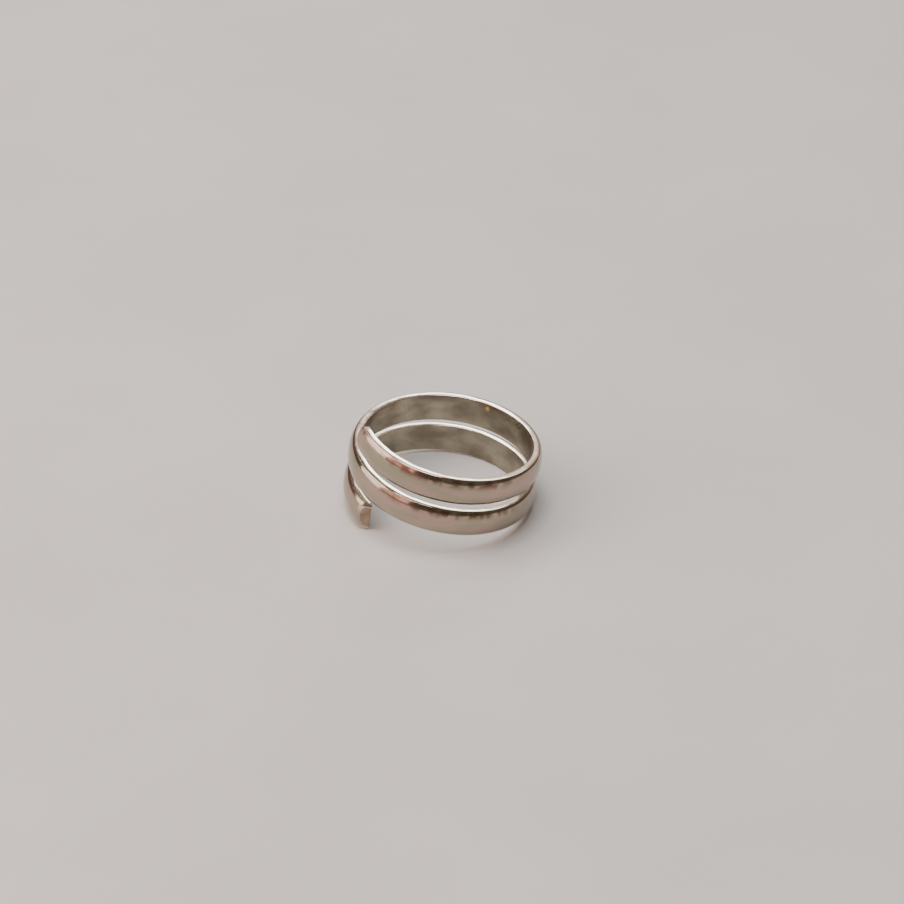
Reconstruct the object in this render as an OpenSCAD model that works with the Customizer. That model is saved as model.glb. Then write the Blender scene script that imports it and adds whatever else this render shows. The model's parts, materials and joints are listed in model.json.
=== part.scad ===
// Coiled wrap ring of half-round silver wire, lying as it comes to rest on a flat surface.
// The wire runs down round the finger, anticlockwise as seen from above, and its two ends lie one over the other.

/* [Finger] */
// Inside diameter of the ring
bore_d = 17.3; // [14:0.1:22]

/* [Wire] */
// Width of the half-round wire, measured square to its run
wire_w = 3.05; // [2:0.05:5]
// Thickness of the wire at its flat upper edge
edge_t = 0.58; // [0.3:0.02:1.2]
// Thickness of the wire at its lower edge, which is rounder
low_edge_t = 0.2; // [0.1:0.02:1.2]
// Height of the dome above the flat upper edge
dome_h = 0.48; // [0.1:0.02:1.2]

/* [Coil] */
// Turns that the wire makes round the finger, from end to end
turns = 2.065; // [1.6:0.005:4]
// Clear gap between neighbouring turns, measured square to the wire
turn_gap = 0.63; // [0.2:0.01:1.5]
// Direction of the upper end from the axis, anticlockwise from +X in degrees
start_at = 197; // [0:1:359]

/* [Ends] */
// Corner radius of the upper end
start_round = 0.7; // [0.1:0.05:0.9]
// Corner radius of the lower end
finish_round = 0.3; // [0.1:0.05:0.9]
// Slant of the lower end, whose dome is cut back from its inner face by this angle in degrees
finish_slant = 39; // [0:1:50]
// Bias of the lower end, whose lower corner reaches further than its upper corner by this angle in degrees
finish_bias = 5; // [0:1:30]

/* [Hidden] */

silver = [0.84, 0.83, 0.80];

bore_r = bore_d / 2;
crown = edge_t + dome_h;
sweep = 360 * turns;
// Degrees of arc in one radian, and one turn in radians
radian = 180 / PI;
full_turn = 2 * PI;
// Slope of the wire on the cylinder that its edges follow, and how far one turn takes it along the axis
slope = asin((wire_w + turn_gap) / (full_turn * (bore_r + edge_t)));
pitch = (wire_w + turn_gap) / cos(slope);

// Facets of the sweep: the widest step between two sections, the steps over the dome and round an end's corner
station_step = 5;
dome_steps = 8;
round_steps = 4;
// Share of the wire's thickness that is filed off at the very end, for each of the two
start_thin = 0.25;
finish_thin = 0.05;
// The sweep reaches this far inside the bore, which is then cut as a true cylinder
bore_cut = 0.3;
cut_margin = 1;

// Angle along the wire, in degrees, of a length measured on its inner face
function degrees_of(length) = length / bore_r * radian;

// Stations along the wire: [angle from the start, how far each edge is drawn in, share of the thickness left,
// length cut back for each millimetre outwards, length added for each millimetre below the wire's middle]
function corner(radius, thin, i) =
    let (a = 90 * i / round_steps)
    [degrees_of(radius * (1 - cos(a))), radius * (1 - sin(a)), 1 - thin * (1 - sin(a))];
cut_back = tan(finish_slant);
reach = tan(finish_bias);
start_run = degrees_of(start_round);
finish_run = degrees_of(finish_round);
plain_run = sweep - start_run - finish_run - degrees_of(crown * cut_back + wire_w / 2 * reach);
plain_steps = ceil(plain_run / station_step);
stations = concat(
    [for (i = [0 : round_steps]) let (c = corner(start_round, start_thin, i)) [c[0], c[1], c[2], 0, 0]],
    [for (i = [1 : plain_steps - 1]) [start_run + plain_run * i / plain_steps, 0, 1, 0, 0]],
    [for (i = [round_steps : -1 : 0])
        let (c = corner(finish_round, finish_thin, i)) [sweep - c[0], c[1], c[2], cut_back, reach]]
);

// Section of the wire as [outwards from the bore, below its middle], with its inner face at the depth given
function section(inset, keep, inner) =
    let (half = wire_w / 2 - inset)
    concat(
        [[inner, -half]],
        [for (i = [0 : dome_steps])
            let (a = 180 * i / dome_steps, edge = a < 90 ? edge_t : low_edge_t)
            [keep * (edge + (crown - edge) * sin(a)), -half * cos(a)]],
        [[inner, half]]
    );

// A point of the wire in the coil's own frame, whose +Z is the ring's axis. Sections stand square to the run.
function wire_point(angle, out, below) =
    let (a = start_at + angle, r = bore_r + out, back = below * sin(slope))
    [
        r * cos(a) + back * sin(a),
        r * sin(a) - back * cos(a),
        -pitch * angle / 360 - below * cos(slope)
    ];
function coil_points(inner) = [
    for (s = stations, p = section(s[1], s[2], inner))
        wire_point(s[0] + degrees_of(s[4] * p[1] - s[3] * p[0]), p[0], p[1])
];

// The ring stands on the inner corner of its lower end and on the lower edge across from it.
// The tangent plane there is level where the centre of mass lies over the line between the two.
foot = wire_point(sweep - finish_run + degrees_of(reach * wire_w / 2), 0, wire_w / 2);
function heel(angle) = wire_point(angle, low_edge_t, wire_w / 2);
function edge_run(angle) =
    let (a = start_at + angle, r = bore_r + low_edge_t, back = wire_w / 2 * sin(slope))
    [
        back * cos(a) - r * sin(a),
        back * sin(a) + r * cos(a),
        -pitch / full_turn
    ];
// The mean thickness of the wire counts each half of its section as a quarter of an oval on its own edge
mean_t = PI / 4 * crown + (1 - PI / 4) * (edge_t + low_edge_t) / 2;
mass_r = bore_r + mean_t / 2;
sweep_rad = sweep / radian;
mass_centre = [
    mass_r * (sin(start_at + sweep) - sin(start_at)) / sweep_rad,
    -mass_r * (cos(start_at + sweep) - cos(start_at)) / sweep_rad,
    -pitch * turns / 2
];
function unit(v) = v / norm(v);
function upward(v) = v[2] < 0 ? -v : v;
function stand_normal(angle) = upward(unit(cross(heel(angle) - foot, edge_run(angle))));
function imbalance(angle) =
    cross(foot - mass_centre, heel(angle) - mass_centre) * stand_normal(angle);
function balanced(low, high, rounds) =
    let (middle = (low + high) / 2)
    rounds == 0 ? middle
    : imbalance(low) * imbalance(middle) <= 0 ? balanced(low, middle, rounds - 1)
    : balanced(middle, high, rounds - 1);
// The heel lies within this many degrees of the point opposite the lower end
heel_search = 60;
opposite = sweep - 180;
heel_at = balanced(opposite - heel_search, opposite + heel_search, 30);

// Axes of the surface that it lies on, seen in the coil's frame
up = stand_normal(heel_at);
across = unit(cross([0, 1, 0], up));
away = cross(up, across);
function laid(p) = [across * p, away * p, up * p];

laid_points = [for (p = coil_points(0)) laid(p)];
function lowest(axis) = min([for (p = laid_points) p[axis]]);
function highest(axis) = max([for (p = laid_points) p[axis]]);
// Moves the middle of its footprint to the origin, and its lowest point to the surface
shift = [-(lowest(0) + highest(0)) / 2, -(lowest(1) + highest(1)) / 2, -lowest(2)];
lay_down = [
    [across[0], across[1], across[2], shift[0]],
    [away[0], away[1], away[2], shift[1]],
    [up[0], up[1], up[2], shift[2]],
    [0, 0, 0, 1]
];

// Two triangles for each side of each stretch between two stations, and a face at each end, fanned from the dome
ring_size = dome_steps + 3;
ring_count = len(stations);
crest = 1 + floor(dome_steps / 2);
function corner_at(i, k) = i * ring_size + k % ring_size;
coil_faces = concat(
    [for (i = [0 : ring_count - 2], k = [0 : ring_size - 1], half = [0, 1])
        half == 0
            ? [corner_at(i, k), corner_at(i + 1, k), corner_at(i + 1, k + 1)]
            : [corner_at(i, k), corner_at(i + 1, k + 1), corner_at(i, k + 1)]],
    [[for (k = [0 : ring_size - 1]) corner_at(0, crest + k)]],
    [[for (k = [ring_size : -1 : 1]) corner_at(ring_count - 1, crest + k)]]
);

module coil() {
    polyhedron(points = coil_points(-bore_cut), faces = coil_faces, convexity = 10);
}

module finger_bore() {
    beyond = wire_w / 2 + cut_margin;
    translate([0, 0, -pitch * turns - beyond])
        cylinder(r = bore_r, h = pitch * turns + 2 * beyond, $fn = 180);
}

module band() {
    color(silver)
        multmatrix(lay_down)
            difference() {
                coil();
                finger_bore();
            }
}

band();
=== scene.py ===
"""Looks of a coiled wrap ring of half-round silver wire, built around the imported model.

Lengths are metres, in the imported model's own frame: +Z is up from the surface that the ring lies on.
"""

import json
import logging
import math
from collections.abc import Callable, Iterator
from contextlib import contextmanager
from dataclasses import dataclass, field
from enum import Enum

import bmesh
import bpy
from mathutils import Matrix, Vector


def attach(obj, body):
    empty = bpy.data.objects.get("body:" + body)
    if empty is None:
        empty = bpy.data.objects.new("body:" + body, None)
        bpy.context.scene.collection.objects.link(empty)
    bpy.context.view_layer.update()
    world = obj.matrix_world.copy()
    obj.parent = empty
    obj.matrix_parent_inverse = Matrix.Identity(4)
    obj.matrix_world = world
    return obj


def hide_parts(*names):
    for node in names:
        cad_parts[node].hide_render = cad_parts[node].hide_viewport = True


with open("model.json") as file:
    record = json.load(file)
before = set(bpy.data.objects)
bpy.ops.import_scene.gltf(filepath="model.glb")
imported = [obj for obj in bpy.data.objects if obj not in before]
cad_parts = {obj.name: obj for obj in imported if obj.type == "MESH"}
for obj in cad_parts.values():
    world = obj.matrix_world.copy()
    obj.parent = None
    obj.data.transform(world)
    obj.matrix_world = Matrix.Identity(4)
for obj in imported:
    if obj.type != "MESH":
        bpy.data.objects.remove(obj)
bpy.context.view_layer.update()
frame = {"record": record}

log = logging.getLogger("ring")

MM = 0.001
FULL_TURN = 2 * math.pi
# Points nearer than this are at the same place
TOUCHING = 0.001 * MM
# The attribute that holds each point's place on the straight wire: along, outwards as less than 0, across
PLACE = "wire_place"
# Faces that meet at more than this angle keep a crisp edge between them
CRISP = math.radians(40)
# How much the finer clouds count beside the larger ones
CLOUD_ROUGHNESS = 0.55
# The middle of a noise's values, where a scratch runs
MIDDLE_NOISE = 0.5
# Scratches are broken up by a noise of this scale, and come in over this much of its value
BREAK_SCALE = 0.9
BREAK_EASE = 0.1
# A spot is whole out to this share of its radius
SPOT_WHOLE = 0.5
# The numbers of a Mix node's sockets for colours
MIX_SHARE = 0
MIX_FIRST = 6
MIX_SECOND = 7
MIX_RESULT = 2

# A colour as red, green, blue and 1
Colour = tuple[float, float, float, float]
# Two values: where something begins and where it is whole, or what it is at none and at all
Fade = tuple[float, float]


class Pick(Enum):
    """What an edit works on."""

    POINTS = "VERT"
    EDGES = "EDGE"
    FACES = "FACE"


class Side(Enum):
    """The sides of the wire that are finished differently, and their material slots."""

    OUTSIDE = 0
    HOLLOW = 1
    ENDS = 2


def deselect() -> None:
    """Leave nothing selected, because an operator acts on all that is."""
    bpy.ops.object.select_all(action="DESELECT")


def take_up(piece: bpy.types.Object) -> None:
    """Make the piece the only one selected, and the active one."""
    deselect()
    piece.select_set(True)
    bpy.context.view_layer.objects.active = piece


@contextmanager
def bench(piece: bpy.types.Object, pick: Pick) -> Iterator[None]:
    """Open a piece in edit mode for a few operators, and close it again.

    Args:
        piece: the mesh to work on.
        pick: whether points, edges or faces are being worked.
    """
    take_up(piece)
    bpy.ops.object.mode_set(mode="EDIT")
    bpy.ops.mesh.select_mode(type=pick.value)
    yield
    bpy.ops.object.mode_set(mode="OBJECT")


def choose(piece: bpy.types.Object, pick: Pick, fits: Callable[[list[Vector]], bool]) -> None:
    """Select only those parts of an opened mesh that fit.

    Args:
        piece: the mesh, open in edit mode.
        pick: the kind of part to choose among.
        fits: says of a part, given its points' places, whether it is chosen.
    """
    bpy.ops.mesh.select_all(action="DESELECT")
    mesh = bmesh.from_edit_mesh(piece.data)
    if pick is Pick.POINTS:
        found = [part for part in mesh.verts if fits([part.co])]
    else:
        parts = mesh.edges if pick is Pick.EDGES else mesh.faces
        found = [part for part in parts if fits([v.co for v in part.verts])]
    for part in found:
        part.select_set(True)
    mesh.select_flush_mode()
    bmesh.update_edit_mesh(piece.data)


def settle(piece: bpy.types.Object) -> None:
    """Put the object's own move and turn into its mesh, so that the object is back at the origin."""
    take_up(piece)
    bpy.ops.object.transform_apply(location=True, rotation=True, scale=True)


def lean(angle: float, about: str, root: tuple[float, float, float]) -> None:
    """Lean what is selected over along X, as a stack of cards is pushed over, so that it keeps its height.

    A turn, an uneven resize and a second turn together make the lean.

    Args:
        angle: how far it leans, in radians.
        about: the axis that it leans about, Y or Z.
        root: the place that stays where it is.
    """
    push = math.tan(angle)
    longer = (push + math.sqrt(push ** 2 + 4)) / 2
    first = math.atan2(2 * push, -push ** 2) / 2
    last = math.atan2(2 * push, push ** 2) / 2
    size = (longer, 1 / longer, 1) if about == "Z" else (longer, 1, 1 / longer)
    bpy.ops.transform.rotate(value=first, orient_axis=about, center_override=root)
    bpy.ops.transform.resize(value=size, center_override=root)
    bpy.ops.transform.rotate(value=-last, orient_axis=about, center_override=root)


def finish_with(piece: bpy.types.Object, kind: str, **settings: object) -> None:
    """Add a modifier to a piece and apply it at once.

    Args:
        piece: the mesh to finish.
        kind: Blender's name for the modifier.
        **settings: its values, by name.
    """
    take_up(piece)
    modifier = piece.modifiers.new(kind.lower(), kind)
    for name, value in settings.items():
        setattr(modifier, name, value)
    bpy.ops.object.modifier_apply(modifier=modifier.name)


@dataclass(frozen=True)
class WireEnd:
    """How one end of the wire is filed: its corners in plan, its slant and the softened edge of its face."""

    corner: float
    thinned: float
    slant: float = 0.0
    bias: float = 0.0
    soft: float = 0.1 * MM
    corner_steps: int = 12
    soft_steps: int = 5

    def stations(self) -> list[float]:
        """Find where the wire's section changes.

        Returns:
            Distances from the end face, from the face inwards.
        """
        quarter = math.pi / 2
        found = {self.corner * (1 - math.cos(quarter * i / self.corner_steps))
                 for i in range(self.corner_steps + 1)}
        found |= {self.soft * (1 - math.cos(quarter * i / self.soft_steps)) for i in range(self.soft_steps)}
        return sorted(found)

    @staticmethod
    def drawn_in(radius: float, distance: float) -> float:
        """Find how far a rounded corner is drawn in.

        Args:
            radius: the corner's radius.
            distance: how far from the end face.

        Returns:
            How far it is drawn in there.
        """
        if distance >= radius:
            return 0.0
        return radius - math.sqrt(radius ** 2 - (radius - distance) ** 2)


@dataclass(frozen=True)
class Cut:
    """One section of the straight wire: its place along the run, half width, inner face and crest."""

    along: float
    half: float
    inner: float
    crest: float


@dataclass
class CoiledBand:
    """The ring: one length of half-round wire, filed at both ends and wound round a finger's mandrel."""

    bore_radius: float
    bore_middle: Vector
    bore_axis: Vector
    wire_width: float = 3.05 * MM
    upper_edge: float = 0.58 * MM
    lower_edge: float = 0.2 * MM
    crown: float = 1.06 * MM
    turns: float = 2.065
    turn_gap: float = 0.63 * MM
    start_at: float = math.radians(197)
    start: WireEnd = field(default_factory=lambda: WireEnd(corner=0.7 * MM, thinned=0.25))
    finish: WireEnd = field(default_factory=lambda: WireEnd(
        corner=0.3 * MM, thinned=0.05, slant=math.radians(39), bias=math.radians(5)))
    inner_soft: float = 0.07 * MM
    inner_steps: int = 4
    dome_points: int = 96
    # Cuts across the run, and then across each stretch that those leave
    run_cuts: tuple[int, int] = (11, 63)

    @property
    def sweep(self) -> float:
        """Angle that the whole wire turns through, in radians."""
        return FULL_TURN * self.turns

    @property
    def pitch(self) -> float:
        """How far one turn moves along the axis.

        Returns:
            The distance between two neighbouring turns, middle to middle.
        """
        step = self.wire_width + self.turn_gap
        outer_slope = math.asin(step / (FULL_TURN * (self.bore_radius + self.upper_edge)))
        return step / math.cos(outer_slope)

    @property
    def slope(self) -> float:
        """Slope of the run on the mandrel, in radians."""
        return math.atan(self.pitch / (FULL_TURN * self.bore_radius))

    @property
    def run(self) -> float:
        """Length of the wire along its inner face, from end to end."""
        return self.bore_radius * self.sweep / math.cos(self.slope)

    def cuts(self) -> list[Cut]:
        """Find all sections of the straight wire.

        Returns:
            The sections, from its upper end to its lower end.
        """
        made = []
        for end, side in ((self.start, -1), (self.finish, 1)):
            part = []
            for distance in end.stations():
                corner = end.drawn_in(end.corner, distance)
                soft = end.drawn_in(end.soft, distance)
                thinned = end.thinned * corner / end.corner
                part.append(Cut(
                    along=side * (self.run / 2 - distance),
                    half=self.wire_width / 2 - corner - soft,
                    inner=soft,
                    crest=self.crown * (1 - thinned) - soft,
                ))
            made += part if side < 0 else part[::-1]
        return made

    def draw_section(self) -> bpy.types.Object:
        """Draw the half-round section: half a disc, flattened to the dome and raised to the wire's two edges.

        Returns:
            A flat piece of one face at the upper end of the run, with its crest towards -Y.
        """
        deselect()
        bpy.ops.mesh.primitive_circle_add(
            vertices=self.dome_points, radius=self.wire_width / 2, fill_type="NGON",
            location=(-self.run / 2, 0, 0), rotation=(0, math.pi / 2, 0))
        piece = bpy.context.object
        piece.name = "silver_band"
        settle(piece)
        with bench(piece, Pick.FACES):
            bpy.ops.mesh.select_all(action="SELECT")
            bpy.ops.mesh.bisect(plane_co=(0, 0, 0), plane_no=(0, 1, 0), clear_outer=True, threshold=TOUCHING)
        with bench(piece, Pick.POINTS):
            for upper, edge in ((True, self.upper_edge), (False, self.lower_edge)):
                choose(piece, Pick.POINTS, lambda at: (at[0].z > -TOUCHING) is upper)
                flatter = (self.crown - edge) / (self.wire_width / 2)
                bpy.ops.transform.resize(value=(1, flatter, 1), center_override=(0, 0, 0))
                bpy.ops.transform.translate(value=(0, -edge, 0))
        with bench(piece, Pick.EDGES):
            choose(piece, Pick.EDGES, lambda at: abs(at[0].z - at[1].z) > self.wire_width / 2)
            bpy.ops.mesh.extrude_region_move(TRANSFORM_OT_translate={"value": (0, self.lower_edge, 0)})
            bpy.ops.transform.resize(value=(1, 0, 1), center_override=(0, 0, 0))
            choose(piece, Pick.EDGES,
                   lambda at: abs(at[0].z - at[1].z) > self.wire_width / 2 and at[0].y < -TOUCHING)
            bpy.ops.mesh.dissolve_edges(use_verts=False)
        with bench(piece, Pick.POINTS):
            choose(piece, Pick.POINTS, lambda at: abs(at[0].y) < TOUCHING)
            bpy.ops.mesh.bevel(offset=self.inner_soft, segments=self.inner_steps, affect="VERTICES")
        return piece

    def draw_wire(self, piece: bpy.types.Object) -> None:
        """Draw the section out to the whole straight wire, one cut after another.

        Args:
            piece: the section, at the upper end of the run.
        """
        cuts = self.cuts()
        full = Cut(cuts[0].along, self.wire_width / 2, 0.0, self.crown)
        finish_from = self.run / 2 - max(self.finish.stations())
        with bench(piece, Pick.FACES):
            bpy.ops.mesh.select_all(action="SELECT")
            before = full
            for cut in cuts:
                if cut.along > before.along:
                    bpy.ops.mesh.extrude_region_move(
                        TRANSFORM_OT_translate={"value": (cut.along - before.along, 0, 0)})
                tall = (cut.crest - cut.inner) / (before.crest - before.inner)
                wide = cut.half / before.half
                root = (cut.along, -before.inner, 0)
                if abs(cut.along - finish_from) < TOUCHING:
                    lean(self.finish.slant, "Z", root)
                    lean(self.finish.bias, "Y", root)
                bpy.ops.transform.resize(value=(tall, tall, wide), center_override=root)
                bpy.ops.transform.translate(value=(0, before.inner - cut.inner, 0))
                before = cut

    def divide_run(self, piece: bpy.types.Object) -> None:
        """Divide the long stretch between the two filed ends finely enough to be wound.

        Args:
            piece: the straight wire.
        """
        longest = self.run
        with bench(piece, Pick.EDGES):
            for cuts in self.run_cuts:
                longest /= 2
                choose(piece, Pick.EDGES, lambda at: abs(at[0].x - at[1].x) > longest)
                bpy.ops.mesh.subdivide(number_cuts=cuts)
                longest = self.run / (cuts + 1)

    def note_places(self, piece: bpy.types.Object) -> None:
        """Keep each point's place on the straight wire, in millimetres, which the finishes read.

        Args:
            piece: the straight wire.
        """
        places = piece.data.attributes.new(PLACE, "FLOAT_VECTOR", "POINT")
        for point, place in zip(piece.data.vertices, places.data):
            place.vector = point.co / MM

    def dress(self, piece: bpy.types.Object, finishes: dict[Side, bpy.types.Material]) -> None:
        """Give each side of the straight wire its finish.

        Args:
            piece: the straight wire.
            finishes: the material of each side.
        """
        for side in Side:
            piece.data.materials.append(finishes[side])
        inside = self.inner_soft / 2
        fits = {
            Side.HOLLOW: lambda at: all(
                p.y > -TOUCHING and abs(p.z) < self.wire_width / 2 - inside for p in at),
            Side.ENDS: lambda at: len(at) > self.dome_points / 2,
        }
        for side, on_side in fits.items():
            piece.active_material_index = side.value
            with bench(piece, Pick.FACES):
                choose(piece, Pick.FACES, on_side)
                bpy.ops.object.material_slot_assign()

    def wind(self, piece: bpy.types.Object) -> None:
        """Set the wire at its slope and wind it round the mandrel.

        Args:
            piece: the straight wire.
        """
        piece.rotation_euler.y = self.slope
        settle(piece)
        reach = [point.co.x for point in piece.data.vertices]
        finish_with(piece, "SIMPLE_DEFORM", deform_method="BEND", deform_axis="Z",
                    angle=(max(reach) - min(reach)) / self.bore_radius)
        piece.location.y = -self.bore_radius
        settle(piece)
        piece.rotation_euler.z = self.start_at + math.pi / 2 + self.sweep / 2
        settle(piece)

    def lay(self, piece: bpy.types.Object) -> None:
        """Lay the coil down as it rests, leaning on its lower end and on the edge across from it.

        Args:
            piece: the coil, upright on the origin.
        """
        away = self.bore_axis.cross(Vector((1, 0, 0))).normalized()
        across = away.cross(self.bore_axis)
        # The hole's wall starts after the upper end's larger corner, so its middle is below the wire's middle
        reach = math.tan(self.finish.bias) * self.wire_width / 2
        uneven = (self.start.corner - self.finish.corner + reach) / self.bore_radius
        middle = self.bore_middle + self.bore_axis * uneven / FULL_TURN * self.pitch / 2
        turned = Matrix((across, away, self.bore_axis)).transposed().to_4x4()
        piece.matrix_world = Matrix.Translation(middle) @ turned
        settle(piece)

    def make(self, finishes: dict[Side, bpy.types.Material]) -> bpy.types.Object:
        """Make the ring from its section to its place on the surface.

        Args:
            finishes: the material of each side of the wire.

        Returns:
            The finished piece.
        """
        piece = self.draw_section()
        self.draw_wire(piece)
        self.divide_run(piece)
        self.note_places(piece)
        self.dress(piece, finishes)
        self.wind(piece)
        self.lay(piece)
        with bench(piece, Pick.FACES):
            bpy.ops.mesh.select_all(action="SELECT")
            bpy.ops.mesh.normals_make_consistent(inside=False)
        take_up(piece)
        bpy.ops.object.shade_smooth_by_angle(angle=CRISP)
        finish_with(piece, "WEIGHTED_NORMAL", keep_sharp=True)
        return piece


@dataclass
class NodeBoard:
    """A node tree that is being laid out."""

    tree: bpy.types.NodeTree

    def add(self, kind: str, feeds: dict[str | int, object] | None = None,
            **settings: object) -> bpy.types.Node:
        """Add a node.

        Args:
            kind: Blender's name for the node.
            feeds: for an input's name or number, the output that feeds it, or its own value.
            **settings: the node's other values, by name.

        Returns:
            The node.
        """
        node = self.tree.nodes.new(kind)
        for name, value in settings.items():
            setattr(node, name, value)
        for key, feed in (feeds or {}).items():
            if isinstance(feed, bpy.types.NodeSocket):
                self.tree.links.new(feed, node.inputs[key])
            else:
                node.inputs[key].default_value = feed
        return node

    def sum_up(self, operation: str, *feeds: object) -> bpy.types.NodeSocket:
        """The result of a Math node on two or three values."""
        return self.add("ShaderNodeMath", dict(enumerate(feeds)), operation=operation).outputs[0]

    def vector(self, operation: str, *feeds: object) -> bpy.types.Node:
        """A Vector Math node on one or two vectors."""
        return self.add("ShaderNodeVectorMath", dict(enumerate(feeds)), operation=operation)

    def share(self, value: object, low: object, high: object) -> bpy.types.NodeSocket:
        """How far a value has come from low to high, from 0 to 1 and eased at both."""
        feeds = {"Value": value, "From Min": low, "From Max": high}
        return self.add("ShaderNodeMapRange", feeds, interpolation_type="SMOOTHSTEP").outputs[0]

    def blend(self, share: object, first: object, second: object) -> bpy.types.NodeSocket:
        """The colour that lies between two colours by a share."""
        feeds = {MIX_SHARE: share, MIX_FIRST: first, MIX_SECOND: second}
        return self.add("ShaderNodeMix", feeds, data_type="RGBA").outputs[MIX_RESULT]

    def between(self, share: object, low: float, high: float) -> bpy.types.NodeSocket:
        """The number that lies between two numbers by a share."""
        return self.sum_up("MULTIPLY_ADD", share, high - low, low)


class Effect(Enum):
    """The shader node groups that the finishes share."""

    CLOUDS = "soft_clouds"
    SCRATCHES = "fine_scratches"
    SPOT = "single_spot"


def open_group(effect: Effect, takes: dict[str, str], gives: dict[str, str]) -> tuple[
        NodeBoard, bpy.types.Node, bpy.types.Node]:
    """Start a node group with named inputs and outputs.

    Args:
        effect: the effect that the group makes.
        takes: the kind of each input, by name.
        gives: the kind of each output, by name.

    Returns:
        The board of the group, the node that its inputs come from, and the node that its outputs go to.
    """
    tree = bpy.data.node_groups.new(effect.value, "ShaderNodeTree")
    for way, sockets in (("INPUT", takes), ("OUTPUT", gives)):
        for name, kind in sockets.items():
            tree.interface.new_socket(name=name, in_out=way, socket_type="NodeSocket" + kind)
    board = NodeBoard(tree)
    return board, board.add("NodeGroupInput"), board.add("NodeGroupOutput")


def make_clouds() -> None:
    """Make the group for whatever comes and goes in soft clouds, such as tints, painted dark reflections,
    waves and satin lines.
    """
    board, given, result = open_group(
        Effect.CLOUDS,
        {"Place": "Vector", "Size": "Vector", "Detail": "Float", "From": "Float", "To": "Float"},
        {"Share": "Float"})
    spread = board.vector("DIVIDE", given.outputs["Place"], given.outputs["Size"])
    noise = board.add("ShaderNodeTexNoise", {
        "Vector": spread.outputs[0], "Scale": 1.0, "Detail": given.outputs["Detail"],
        "Roughness": CLOUD_ROUGHNESS})
    share = board.share(noise.outputs[0], given.outputs["From"], given.outputs["To"])
    board.tree.links.new(share, result.inputs["Share"])


def make_scratches() -> None:
    """Make the group for fine scratches: thin broken lines that lie at one angle to the run."""
    board, given, result = open_group(
        Effect.SCRATCHES,
        {"Place": "Vector", "Angle": "Float", "Size": "Vector", "Thin": "Float", "Seldom": "Float"},
        {"Share": "Float"})
    turned = board.add("ShaderNodeVectorRotate", {
        "Vector": given.outputs["Place"], "Angle": given.outputs["Angle"]}, rotation_type="Y_AXIS")
    spread = board.vector("DIVIDE", turned.outputs[0], given.outputs["Size"])
    noise = board.add("ShaderNodeTexNoise", {"Vector": spread.outputs[0], "Scale": 1.0, "Detail": 1.0})
    ridge = board.sum_up("ABSOLUTE", board.sum_up("SUBTRACT", noise.outputs[0], MIDDLE_NOISE))
    line = board.share(ridge, given.outputs["Thin"], 0.0)
    broken = board.add("ShaderNodeTexNoise", {
        "Vector": given.outputs["Place"], "Scale": BREAK_SCALE, "Detail": 2.0})
    whole = board.sum_up("ADD", given.outputs["Seldom"], BREAK_EASE)
    there = board.share(broken.outputs[0], given.outputs["Seldom"], whole)
    board.tree.links.new(board.sum_up("MULTIPLY", line, there), result.inputs["Share"])


def make_spot() -> None:
    """Make the group for one small spot at a place of its own."""
    board, given, result = open_group(
        Effect.SPOT, {"Place": "Vector", "Centre": "Vector", "Radius": "Float"}, {"Share": "Float"})
    apart = board.vector("DISTANCE", given.outputs["Place"], given.outputs["Centre"]).outputs["Value"]
    inner = board.sum_up("MULTIPLY", given.outputs["Radius"], SPOT_WHOLE)
    board.tree.links.new(board.share(apart, given.outputs["Radius"], inner), result.inputs["Share"])


@dataclass(frozen=True)
class Clouds:
    """How soft clouds lie: their size along, outwards and across, and the noise from none to all of them."""

    size: tuple[float, float, float]
    detail: float
    begins: float
    whole: float


@dataclass(frozen=True)
class Scratches:
    """How fine scratches lie: their angle to the run, their size, and how thin and how seldom they are."""

    angle: float
    size: tuple[float, float, float]
    thin: float
    seldom: float


@dataclass
class FinishBoard(NodeBoard):
    """The node tree of one material, with its shader and the place on the surface that its patterns read."""

    shader: bpy.types.Node
    place: bpy.types.NodeSocket

    def effect(self, effect: Effect, **feeds: object) -> bpy.types.NodeSocket:
        """Place one of the shared groups, with its inputs by their names.

        Args:
            effect: the group to place.
            **feeds: the output that feeds each input, or the input's own value.

        Returns:
            The group's output.
        """
        group = bpy.data.node_groups[effect.value]
        return self.add("ShaderNodeGroup", {"Place": self.place, **feeds}, node_tree=group).outputs[0]

    def clouds(self, lie: Clouds) -> bpy.types.NodeSocket:
        """Where soft clouds lie, from 0 to 1."""
        return self.effect(
            Effect.CLOUDS, Size=lie.size, Detail=lie.detail, From=lie.begins, To=lie.whole)

    def scratches(self, lie: Scratches) -> bpy.types.NodeSocket:
        """Where fine scratches lie, from 0 to 1."""
        return self.effect(
            Effect.SCRATCHES, Angle=lie.angle, Size=lie.size, Thin=lie.thin, Seldom=lie.seldom)

    def all_of(self, first: object, *others: object) -> bpy.types.NodeSocket:
        """Multiply several shares.

        Args:
            first: the first share.
            *others: the rest of them.

        Returns:
            Their product, which is 1 only where all of them are.
        """
        for other in others:
            first = self.sum_up("MULTIPLY", first, other)
        return first

    def coat(self, colour: bpy.types.NodeSocket, rough: bpy.types.NodeSocket) -> None:
        """Give the shader its colour and its roughness."""
        self.tree.links.new(colour, self.shader.inputs["Base Color"])
        self.tree.links.new(rough, self.shader.inputs["Roughness"])

    def relief(self, *layers: tuple[bpy.types.NodeSocket, float]) -> None:
        """Raise the surface by layers of relief.

        Args:
            *layers: for each layer, its share and its height in millimetres.
        """
        height = self.sum_up("MULTIPLY", *layers[0])
        for share, depth in layers[1:]:
            height = self.sum_up("MULTIPLY_ADD", share, depth, height)
        bump = self.add("ShaderNodeBump", {"Height": height, "Distance": MM, "Strength": 1.0})
        self.tree.links.new(bump.outputs[0], self.shader.inputs["Normal"])


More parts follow.
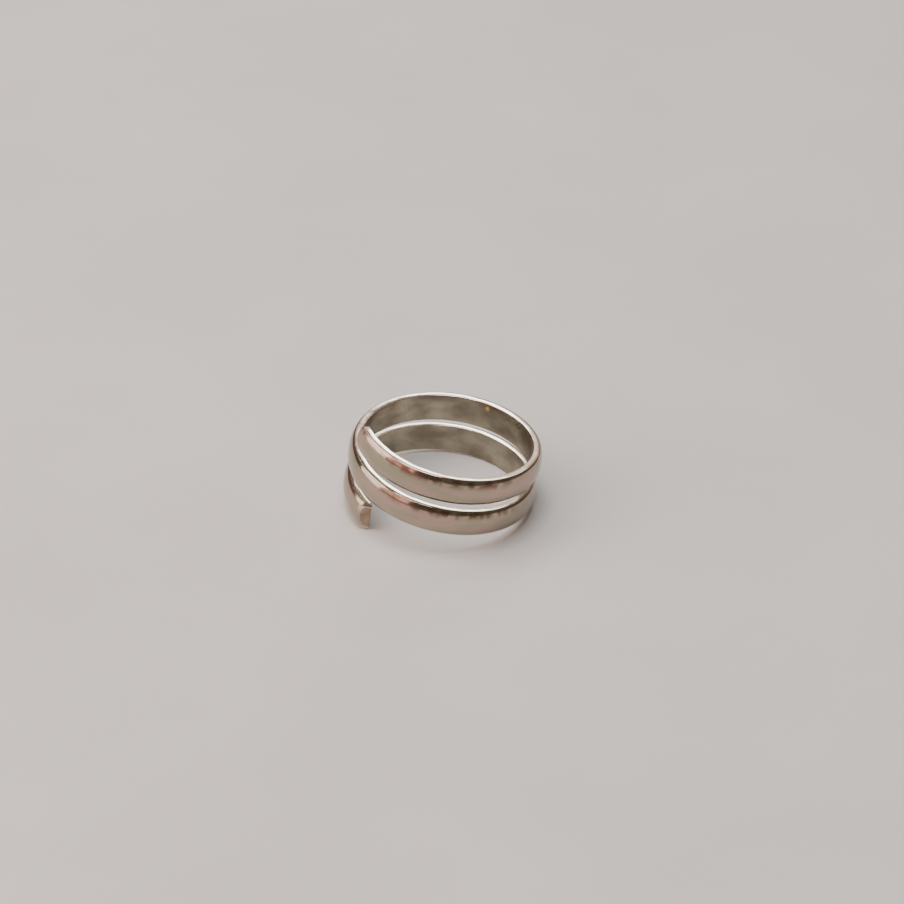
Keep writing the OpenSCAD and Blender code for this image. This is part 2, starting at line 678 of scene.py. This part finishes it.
def start_finish(name: str, metallic: float, place: str | None) -> tuple[bpy.types.Material, FinishBoard]:
    """Start a material.

    Args:
        name: its name.
        metallic: 1 for metal, 0 for anything else.
        place: the attribute that holds each point's place, or none where the object's own will do.

    Returns:
        The material and its board.
    """
    made = bpy.data.materials.new(name)
    made.use_nodes = True
    shader = made.node_tree.nodes["Principled BSDF"]
    shader.inputs["Metallic"].default_value = metallic
    board = NodeBoard(made.node_tree)
    if place:
        found = board.add("ShaderNodeAttribute", attribute_name=place).outputs["Vector"]
    else:
        found = board.add("ShaderNodeTexCoord").outputs["Object"]
    return made, FinishBoard(made.node_tree, shader, found)


@dataclass(frozen=True)
class PolishedSilver:
    """Silver polished to a mirror and then worn.

    It has rosy and olive clouds, painted dark reflections in brown below the upper edge, a painted
    golden-brown reflection on the land near the lower end, an upper land that is bright from rubbed wear and
    a painted highlight, and a painted highlight along the lower end's rim. Places and lengths are millimetres
    on the straight wire, and each Fade runs from where its effect begins to where it is whole.
    """

    name: str = "polished_silver"
    rosy: Colour = (0.43, 0.32, 0.27, 1)
    olive: Colour = (0.34, 0.31, 0.23, 1)
    # Painted dark reflection, in brown, below the upper edge
    dark_reflection: Colour = (0.14, 0.07, 0.05, 1)
    dulled: Colour = (0.4, 0.29, 0.235, 1)
    # Painted golden-brown reflection on the upper land near the lower end
    land_reflection: Colour = (0.13, 0.09, 0.045, 1)
    # Bright inner part of the upper land: partly rubbed wear, partly a painted highlight
    rubbed_and_highlit: Colour = (0.97, 0.92, 0.86, 1)
    # Painted highlight along the rim of the lower end's face
    rim_highlight: Colour = (0.74, 0.6, 0.52, 1)
    half_width: float = 1.525
    tints: Clouds = Clouds(size=(3.2, 1.5, 1.1), detail=3.0, begins=0.38, whole=0.62)
    patches: Clouds = Clouds(size=(1.0, 0.9, 1.5), detail=1.0, begins=0.4, whole=0.62)
    waves: Clouds = Clouds(size=(1.9, 1.4, 1.2), detail=1.0, begins=0.2, whole=0.8)
    run_scratches: Scratches = Scratches(angle=0.06, size=(2.6, 0.5, 0.16), thin=0.03, seldom=0.46)
    cross_scratches: Scratches = Scratches(angle=0.9, size=(1.9, 0.5, 0.2), thin=0.02, seldom=0.56)
    # Distances from the wire's edge
    dark_reflection_below: Fade = (1.15, 0.35)
    dark_reflection_above: Fade = (0.03, 0.2)
    rubbed_lit_edge: Fade = (0.08, 0.0)
    land_reflection_edge: Fade = (0.04, 0.01)
    unscratched: Fade = (0.05, 0.25)
    # The painted dark reflections are strongest near two places along the wire, and keep a least share
    # elsewhere
    dark_reflection_at: tuple[float, float] = (10.0, -45.0)
    dark_reflection_reach: Fade = (8.0, 4.0)
    dark_reflection_share: Fade = (0.15, 0.85)
    # Distances outwards from the hollow side, and how softly they end
    rubbed_lit_to: float = 0.43
    rubbed_lit_soft: float = 0.12
    land_reflection_across: tuple[float, float] = (0.14, 0.44)
    land_reflection_soft: float = 0.05
    # Places along the wire
    dulled_run: Fade = (-55.0, -55.5)
    land_reflection_run: Fade = (52.0, 54.0)
    # The direction that the lower end's face looks in, how far the painted highlight on its rim lies that
    # way, and the places across the wire where that highlight is painted
    end_looks: tuple[float, float, float] = (1.0, -0.81, 0.087)
    end_rim: Fade = (55.985, 56.105)
    rim_above: Fade = (0.2, 1.1)
    rim_below: Fade = (-1.0, -1.3)
    # Roughness from the olive tint to the rosy one, and what the painted dark reflections, the dulled tip,
    # the painted reflection on the land and scratches add to it
    polish: Fade = (0.09, 0.15)
    dark_reflection_adds: float = 0.2
    dulled_adds: float = 0.15
    scratch_adds: float = 0.12
    # Heights of the relief
    wave_height: float = 0.012
    scratch_height: float = -0.0012

    def near_edge(self, board: FinishBoard, across: bpy.types.NodeSocket, fade: Fade) -> bpy.types.NodeSocket:
        """The share of a fade that is given by distances from the wire's edge."""
        begins, whole = fade
        return board.share(across, self.half_width - begins, self.half_width - whole)

    def dark_reflections(self, board: FinishBoard, along: bpy.types.NodeSocket,
               across: bpy.types.NodeSocket) -> bpy.types.NodeSocket:
        """Where the painted dark reflections lie, in brown below the upper edge.

        Args:
            board: the material's board.
            along: the place along the wire.
            across: the place across it.

        Returns:
            The painted dark reflections' share, from 0 to 1.
        """
        in_band = board.all_of(
            self.near_edge(board, across, self.dark_reflection_below),
            self.near_edge(board, across, self.dark_reflection_above))
        first, second = (
            board.share(board.sum_up("ABSOLUTE", board.sum_up("SUBTRACT", along, middle)), *self.dark_reflection_reach)
            for middle in self.dark_reflection_at)
        near = board.between(board.sum_up("MAXIMUM", first, second), *self.dark_reflection_share)
        return board.all_of(in_band, board.clouds(self.patches), near)

    def land_reflection_share(self, board: FinishBoard, along: bpy.types.NodeSocket, outwards: bpy.types.NodeSocket,
                across: bpy.types.NodeSocket) -> bpy.types.NodeSocket:
        """Where the upper land has a painted golden-brown reflection.

        Args:
            board: the material's board.
            along: the place along the wire.
            outwards: the place outwards, as less than 0.
            across: the place across it.

        Returns:
            The painted reflection's share, from 0 to 1.
        """
        inner, outer = self.land_reflection_across
        soft = self.land_reflection_soft
        return board.all_of(
            self.near_edge(board, across, self.land_reflection_edge),
            board.share(outwards, -inner + soft, -inner - soft),
            board.share(outwards, -outer - soft, -outer + soft),
            board.share(along, *self.land_reflection_run))

    def material(self) -> bpy.types.Material:
        """Lay out the finish.

        Returns:
            The finish as a material.
        """
        made, board = start_finish(self.name, metallic=1.0, place=PLACE)
        along, outwards, across = board.add("ShaderNodeSeparateXYZ", {0: board.place}).outputs
        off_middle = board.sum_up("ABSOLUTE", across)
        tints = board.clouds(self.tints)
        # Painted dark reflections, in brown, below the upper edge
        dark_reflected = self.dark_reflections(board, along, across)
        # The inner part of the upper land is bright: partly rubbed wear, partly a painted highlight
        rubbed_and_lit = board.all_of(
            self.near_edge(board, off_middle, self.rubbed_lit_edge),
            board.share(outwards, -self.rubbed_lit_to - self.rubbed_lit_soft, self.rubbed_lit_soft - self.rubbed_lit_to))
        tip = board.share(along, *self.dulled_run)
        # A painted golden-brown reflection on the upper land near the lower end
        land_reflection = self.land_reflection_share(board, along, outwards, across)
        reach = board.vector("DOT_PRODUCT", board.place, self.end_looks).outputs["Value"]
        # A painted highlight along the rim of the lower end's face
        rim = board.all_of(
            board.share(reach, *self.end_rim),
            board.sum_up(
                "MAXIMUM", board.share(across, *self.rim_above), board.share(across, *self.rim_below)))
        base = board.blend(tints, self.olive, self.rosy)
        for share, colour in (
            (dark_reflected, self.dark_reflection), (rubbed_and_lit, self.rubbed_and_highlit), (tip, self.dulled),
            (land_reflection, self.land_reflection), (rim, self.rim_highlight),
        ):
            base = board.blend(share, base, colour)
        lines = board.all_of(
            board.sum_up(
                "MAXIMUM", board.scratches(self.run_scratches), board.scratches(self.cross_scratches)),
            self.near_edge(board, off_middle, self.unscratched))
        rough = board.between(tints, *self.polish)
        for share, rougher in (
            (dark_reflected, self.dark_reflection_adds), (board.sum_up("MAXIMUM", tip, land_reflection), self.dulled_adds),
            (lines, self.scratch_adds),
        ):
            rough = board.sum_up("MULTIPLY_ADD", share, rougher, rough)
        board.coat(base, rough)
        board.relief((board.clouds(self.waves), self.wave_height), (lines, self.scratch_height))
        return made


@dataclass(frozen=True)
class SatinSilver:
    """The hollow side: drawn along the mandrel to a satin, blotched by wear, with a few specks."""

    name: str = "satin_silver"
    dull: Colour = (0.215, 0.185, 0.14, 1)
    clear: Colour = (0.4, 0.355, 0.27, 1)
    golden: Colour = (0.95, 0.62, 0.2, 1)
    dark: Colour = (0.16, 0.12, 0.09, 1)
    blotches: Clouds = Clouds(size=(3.6, 1.5, 2.2), detail=2.0, begins=0.3, whole=0.7)
    dust: Clouds = Clouds(size=(0.22, 0.5, 0.2), detail=1.0, begins=0.74, whole=0.8)
    drawn: Clouds = Clouds(size=(4.5, 0.5, 0.05), detail=3.0, begins=0.3, whole=0.7)
    waves: Clouds = Clouds(size=(2.6, 1.4, 1.3), detail=2.0, begins=0.2, whole=0.8)
    cross_scratches: Scratches = Scratches(angle=0.7, size=(1.6, 0.5, 0.2), thin=0.025, seldom=0.5)
    # The golden speck on the upper turn, and its radius
    speck_at: tuple[float, float, float] = (-22.28, 0.0, 0.95)
    speck_radius: float = 0.32
    # Roughness from the dull blotches to the clear ones, and what scratches add to it
    satin: Fade = (0.34, 0.26)
    scratch_adds: float = -0.08
    # Heights of the relief
    wave_height: float = 0.008
    drawn_height: float = 0.0012
    scratch_height: float = -0.001

    def material(self) -> bpy.types.Material:
        """Lay out the finish.

        Returns:
            The finish as a material.
        """
        made, board = start_finish(self.name, metallic=1.0, place=PLACE)
        blotches = board.clouds(self.blotches)
        speck = board.effect(Effect.SPOT, Centre=self.speck_at, Radius=self.speck_radius)
        cross = board.scratches(self.cross_scratches)
        base = board.blend(blotches, self.dull, self.clear)
        base = board.blend(board.clouds(self.dust), base, self.dark)
        base = board.blend(speck, base, self.golden)
        rough = board.between(blotches, *self.satin)
        rough = board.sum_up("MULTIPLY_ADD", cross, self.scratch_adds, rough)
        board.coat(base, rough)
        board.relief(
            (board.clouds(self.waves), self.wave_height), (board.clouds(self.drawn), self.drawn_height),
            (cross, self.scratch_height))
        return made


@dataclass(frozen=True)
class FiledSilver:
    """The two end faces: filed across and left duller and browner than the rest."""

    name: str = "filed_silver"
    brown: Colour = (0.23, 0.165, 0.115, 1)
    pale: Colour = (0.35, 0.28, 0.215, 1)
    tints: Clouds = Clouds(size=(1.4, 0.9, 1.3), detail=3.0, begins=0.3, whole=0.7)
    strokes: Clouds = Clouds(size=(2.0, 0.05, 1.4), detail=2.0, begins=0.3, whole=0.7)
    # Roughness between the strokes of the file and in them, and the heights of the relief
    filed: Fade = (0.26, 0.4)
    stroke_height: float = 0.003
    tint_height: float = 0.006

    def material(self) -> bpy.types.Material:
        """Lay out the finish.

        Returns:
            The finish as a material.
        """
        made, board = start_finish(self.name, metallic=1.0, place=PLACE)
        tints = board.clouds(self.tints)
        strokes = board.clouds(self.strokes)
        board.coat(board.blend(tints, self.brown, self.pale), board.between(strokes, *self.filed))
        board.relief((strokes, self.stroke_height), (tints, self.tint_height))
        return made


@dataclass(frozen=True)
class PaleFloor:
    """The plain pale floor: matt, with the faintest of clouds and grain.

    It has no place on the wire, so its clouds are spread over the object's own place, in metres.
    """

    name: str = "pale_floor"
    light: Colour = (0.66, 0.65, 0.63, 1)
    shade: Colour = (0.62, 0.61, 0.59, 1)
    tints: Clouds = Clouds(size=(0.03, 0.03, 0.03), detail=3.0, begins=0.3, whole=0.7)
    grain: Clouds = Clouds(size=(0.0005, 0.0005, 0.0005), detail=2.0, begins=0.3, whole=0.7)
    # Roughness from shade to light, and the heights of the relief in millimetres
    matt: Fade = (0.62, 0.7)
    grain_height: float = 0.006
    tint_height: float = 0.01

    def material(self) -> bpy.types.Material:
        """Lay out the finish.

        Returns:
            The finish as a material.
        """
        made, board = start_finish(self.name, metallic=0.0, place=None)
        tints = board.clouds(self.tints)
        board.coat(board.blend(tints, self.shade, self.light), board.between(tints, *self.matt))
        board.relief((board.clouds(self.grain), self.grain_height), (tints, self.tint_height))
        return made


@dataclass(frozen=True)
class Softbox:
    """A plain soft light: its bearing and height in degrees, its distance, its size and how bright it is."""

    name: str
    bearing: float
    height: float
    distance: float
    width: float
    tall: float
    glow: float
    colour: tuple[float, float, float]

    def hang(self, aim: Vector) -> None:
        """Hang the light so that it faces a point.

        Args:
            aim: the point that it faces.
        """
        lamp = bpy.data.lights.new(self.name, "AREA")
        lamp.shape = "RECTANGLE"
        lamp.size = self.width
        lamp.size_y = self.tall
        lamp.energy = self.glow * self.width * self.tall
        lamp.color = self.colour
        bearing, height = math.radians(self.bearing), math.radians(self.height)
        level = math.cos(height)
        towards = Vector((level * math.cos(bearing), level * math.sin(bearing), math.sin(height)))
        hung = bpy.data.objects.new(self.name, lamp)
        hung.location = aim + towards * self.distance
        hung.rotation_euler = towards.to_track_quat("Z", "Y").to_euler()
        bpy.context.scene.collection.objects.link(hung)


# Each box hangs where the ring mirrors a light in the photograph
SOFTBOXES = (
    Softbox("back_softbox", bearing=81, height=32.6, distance=0.6, width=0.21, tall=0.086, glow=18,
            colour=(1, 0.97, 0.92)),
    Softbox("back_glow", bearing=81, height=30, distance=0.66, width=0.38, tall=0.25, glow=2.4,
            colour=(1, 0.8, 0.66)),
    Softbox("left_softbox", bearing=184, height=28, distance=0.5, width=0.32, tall=0.5, glow=12,
            colour=(1, 0.86, 0.79)),
    Softbox("shoulder_softbox", bearing=140, height=62, distance=0.55, width=0.42, tall=0.2, glow=12,
            colour=(1, 0.9, 0.84)),
    Softbox("rose_softbox", bearing=221, height=32, distance=0.52, width=0.34, tall=0.52, glow=5.5,
            colour=(1, 0.54, 0.47)),
    Softbox("top_softbox", bearing=250, height=86, distance=0.6, width=0.28, tall=0.28, glow=30,
            colour=(0.93, 0.97, 1)),
)


@dataclass
class Studio:
    """The plain floor, the soft lights and the camera."""

    aim: Vector = field(default_factory=lambda: Vector((0.922 * MM, 0.306 * MM, 5.678 * MM)))
    elevation: float = math.radians(33.87)
    azimuth: float = math.radians(0.172)
    roll: float = math.radians(1.73)
    distance: float = 301.2 * MM
    lens: float = 119.03
    sensor: float = 36.0
    nearest: float = 0.01
    floor_size: float = 6.0
    room: Colour = (0.22, 0.18, 0.15, 1)

    def lay_floor(self) -> None:
        """Lay the pale floor that the ring rests on."""
        deselect()
        bpy.ops.mesh.primitive_plane_add(size=self.floor_size, location=(0, 0, 0))
        floor = bpy.context.object
        floor.name = "floor"
        floor.data.materials.append(PaleFloor().material())

    def light(self) -> None:
        """Hang the softboxes and set the faint light of the room."""
        world = bpy.data.worlds.new("room")
        bpy.context.scene.world = world
        world.use_nodes = True
        background = world.node_tree.nodes["Background"]
        background.inputs["Color"].default_value = self.room
        background.inputs["Strength"].default_value = 1.0
        for box in SOFTBOXES:
            box.hang(self.aim)

    def set_camera(self) -> None:
        """Set the camera where the photograph was taken from."""
        level = math.cos(self.elevation)
        back = Vector((
            level * math.sin(self.azimuth), -level * math.cos(self.azimuth), math.sin(self.elevation)))
        level_right = Vector((0, 0, 1)).cross(back).normalized()
        level_up = back.cross(level_right)
        right = level_right * math.cos(self.roll) + level_up * math.sin(self.roll)
        up = back.cross(right)
        lens = bpy.data.cameras.new("camera")
        lens.lens = self.lens
        lens.sensor_width = self.sensor
        lens.clip_start = self.nearest
        camera = bpy.data.objects.new("camera", lens)
        turned = Matrix((right, up, back)).transposed().to_4x4()
        camera.matrix_world = Matrix.Translation(self.aim + back * self.distance) @ turned
        bpy.context.scene.collection.objects.link(camera)
        bpy.context.scene.camera = camera


def main() -> None:
    """Build the ring and its studio, and log how many points and faces the ring has."""
    logging.basicConfig(level=logging.INFO, format="%(message)s")
    bore = frame["record"]["mounts"][0]
    band = CoiledBand(
        bore_radius=bore["dims"]["r_mm"] * MM,
        bore_middle=Vector(bore["pos_m"]),
        bore_axis=Vector(bore["axis"]).normalized(),
    )
    for make_effect in (make_clouds, make_scratches, make_spot):
        make_effect()
    piece = band.make({
        Side.OUTSIDE: PolishedSilver().material(),
        Side.HOLLOW: SatinSilver().material(),
        Side.ENDS: FiledSilver().material(),
    })
    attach(piece, "root")
    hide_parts("band")
    log.info("%s: %d points, %d faces", piece.name, len(piece.data.vertices), len(piece.data.polygons))
    studio = Studio()
    studio.lay_floor()
    studio.light()
    studio.set_camera()
    log.info("studio: floor, lights and camera")


if __name__ == "__main__":
    main()
